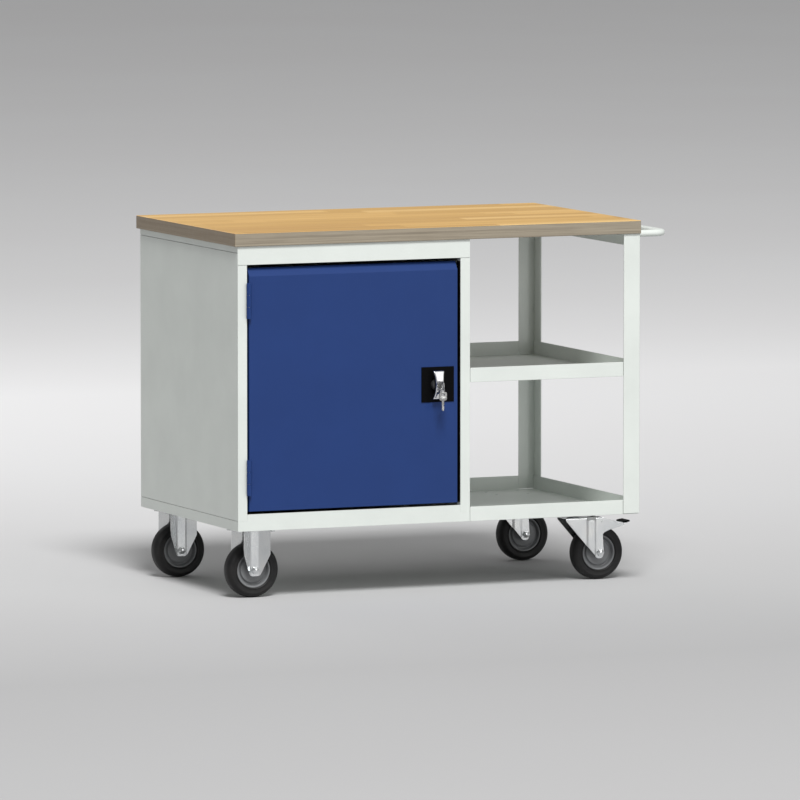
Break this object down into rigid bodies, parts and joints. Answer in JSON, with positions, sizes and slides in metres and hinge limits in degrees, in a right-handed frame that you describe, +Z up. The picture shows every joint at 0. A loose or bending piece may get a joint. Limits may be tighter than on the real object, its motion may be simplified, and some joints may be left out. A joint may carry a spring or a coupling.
{
  "type": "mobile workbench",
  "caption": "Workbench on castors: a wooden top over a cupboard with a hinged, locking door beside open pan shelves, an L-section end frame and a tubular push handle.",
  "frame": {"origin": "on the floor, under the middle of the whole bench with its push handle", "axes": "+X along the bench towards the push handle end, +Y from the door front to the back, +Z up"},
  "size_m": [1.114, 0.6425, 0.83],
  "materials": {
    "beech": "lacquered beech multiplex, satin",
    "light_grey_paint": "light grey powder coat, satin",
    "blue_paint": "gentian blue powder coat, satin",
    "zinc_steel": "bright zinc plated pressed steel",
    "black_plastic": "black moulded plastic, fine texture",
    "bright_chrome": "polished chrome",
    "key_steel": "nickel plated, worn",
    "wheel_grey_plastic": "grey moulded polypropylene",
    "tyre_rubber": "black solid rubber, semi-matt"
  },
  "bodies": {
    "bench": {"worktop": "beech", "worktop_screws": "zinc_steel", "cabinet_left_side": "light_grey_paint", "cabinet_right_side": "light_grey_paint", "cabinet_base": "light_grey_paint", "cabinet_top": "light_grey_paint", "cabinet_back": "light_grey_paint", "inner_shelf": "light_grey_paint", "shelf_clips": "zinc_steel", "hinge_frame_leaves": "blue_paint", "hinge_pins": "zinc_steel", "middle_tray": "light_grey_paint", "bottom_tray": "light_grey_paint", "front_leg": "light_grey_paint", "rear_leg": "light_grey_paint", "end_top_rail": "light_grey_paint", "push_handle": "light_grey_paint", "handle_flanges": "zinc_steel", "handle_screws": "zinc_steel", "castor_bolts": "zinc_steel", "front_left_housing": "zinc_steel", "front_left_axle_bolt": "zinc_steel", "front_left_axle_nut": "zinc_steel", "front_right_plate": "zinc_steel", "rear_left_housing": "zinc_steel", "rear_left_axle_bolt": "zinc_steel", "rear_left_axle_nut": "zinc_steel", "rear_right_plate": "zinc_steel"},
    "door": {"door_panel": "blue_paint", "door_stiffener": "blue_paint", "hinge_door_leaves": "blue_paint", "lock_plate": "black_plastic", "lock_housing": "black_plastic"},
    "lock_handle": {"turn_handle": "bright_chrome", "latch_cam": "zinc_steel", "cam_nut": "zinc_steel"},
    "lock_key": {"lock_cylinder": "key_steel", "key": "key_steel"},
    "ring": {"key_ring": "key_steel"},
    "second_key": {"spare_key": "key_steel"},
    "front_left_wheel": {"front_left_wheel": "wheel_grey_plastic", "front_left_tyre": "tyre_rubber"},
    "front_right_swivel": {"front_right_fork": "zinc_steel", "front_right_axle_bolt": "zinc_steel", "front_right_axle_nut": "zinc_steel"},
    "front_right_wheel": {"front_right_wheel": "wheel_grey_plastic", "front_right_tyre": "tyre_rubber"},
    "front_right_brake": {"front_right_brake_pedal": "zinc_steel", "front_right_brake_toe": "black_plastic"},
    "rear_left_wheel": {"rear_left_wheel": "wheel_grey_plastic", "rear_left_tyre": "tyre_rubber"},
    "rear_right_swivel": {"rear_right_fork": "zinc_steel", "rear_right_axle_bolt": "zinc_steel", "rear_right_axle_nut": "zinc_steel"},
    "rear_right_wheel": {"rear_right_wheel": "wheel_grey_plastic", "rear_right_tyre": "tyre_rubber"},
    "rear_right_brake": {"rear_right_brake_pedal": "zinc_steel", "rear_right_brake_toe": "black_plastic"}
  },
  "joints": [
    {"name": "door_hinge", "type": "hinge", "parent": "bench", "child": "door", "pos_m": [-0.5235, -0.2796, 0.478], "axis": [0, 0, -1], "range_deg": [0, 170]},
    {"name": "handle_turn", "type": "hinge", "parent": "door", "child": "lock_handle", "pos_m": [-0.065, -0.289, 0.473], "axis": [0, 1, 0], "range_deg": [-90, 0]},
    {"name": "key_turn", "type": "hinge", "parent": "lock_handle", "child": "lock_key", "pos_m": [-0.065, -0.299, 0.473], "axis": [0, 1, 0], "range_deg": [0, 90]},
    {"name": "key_ring_swing", "type": "hinge", "parent": "lock_key", "child": "ring", "pos_m": [-0.065, -0.3147, 0.4715], "axis": [0, 1, 0], "range_deg": [-20, 20]},
    {"name": "second_key_swing", "type": "hinge", "parent": "ring", "child": "second_key", "pos_m": [-0.065, -0.3147, 0.4545], "axis": [0, 1, 0], "range_deg": [-20, 20]},
    {"name": "front_left_wheel_spin", "type": "hinge", "parent": "bench", "child": "front_left_wheel", "pos_m": [-0.4845, -0.193, 0.0625], "axis": [0, 1, 0], "continuous": true},
    {"name": "front_right_swivel_turn", "type": "hinge", "parent": "bench", "child": "front_right_swivel", "pos_m": [0.343, -0.168, 0.146], "axis": [0, 0, 1], "continuous": true},
    {"name": "front_right_wheel_spin", "type": "hinge", "parent": "front_right_swivel", "child": "front_right_wheel", "pos_m": [0.381, -0.168, 0.0625], "axis": [0, 1, 0], "continuous": true},
    {"name": "front_right_brake_press", "type": "hinge", "parent": "front_right_swivel", "child": "front_right_brake", "pos_m": [0.387, -0.168, 0.1325], "axis": [0, 1, 0], "range_deg": [0, 12]},
    {"name": "rear_left_wheel_spin", "type": "hinge", "parent": "bench", "child": "rear_left_wheel", "pos_m": [-0.4845, 0.25, 0.0625], "axis": [0, 1, 0], "continuous": true},
    {"name": "rear_right_swivel_turn", "type": "hinge", "parent": "bench", "child": "rear_right_swivel", "pos_m": [0.343, 0.25, 0.146], "axis": [0, 0, 1], "continuous": true},
    {"name": "rear_right_wheel_spin", "type": "hinge", "parent": "rear_right_swivel", "child": "rear_right_wheel", "pos_m": [0.381, 0.25, 0.0625], "axis": [0, 1, 0], "continuous": true},
    {"name": "rear_right_brake_press", "type": "hinge", "parent": "rear_right_swivel", "child": "rear_right_brake", "pos_m": [0.387, 0.25, 0.1325], "axis": [0, 1, 0], "range_deg": [0, 12]}
  ]
}
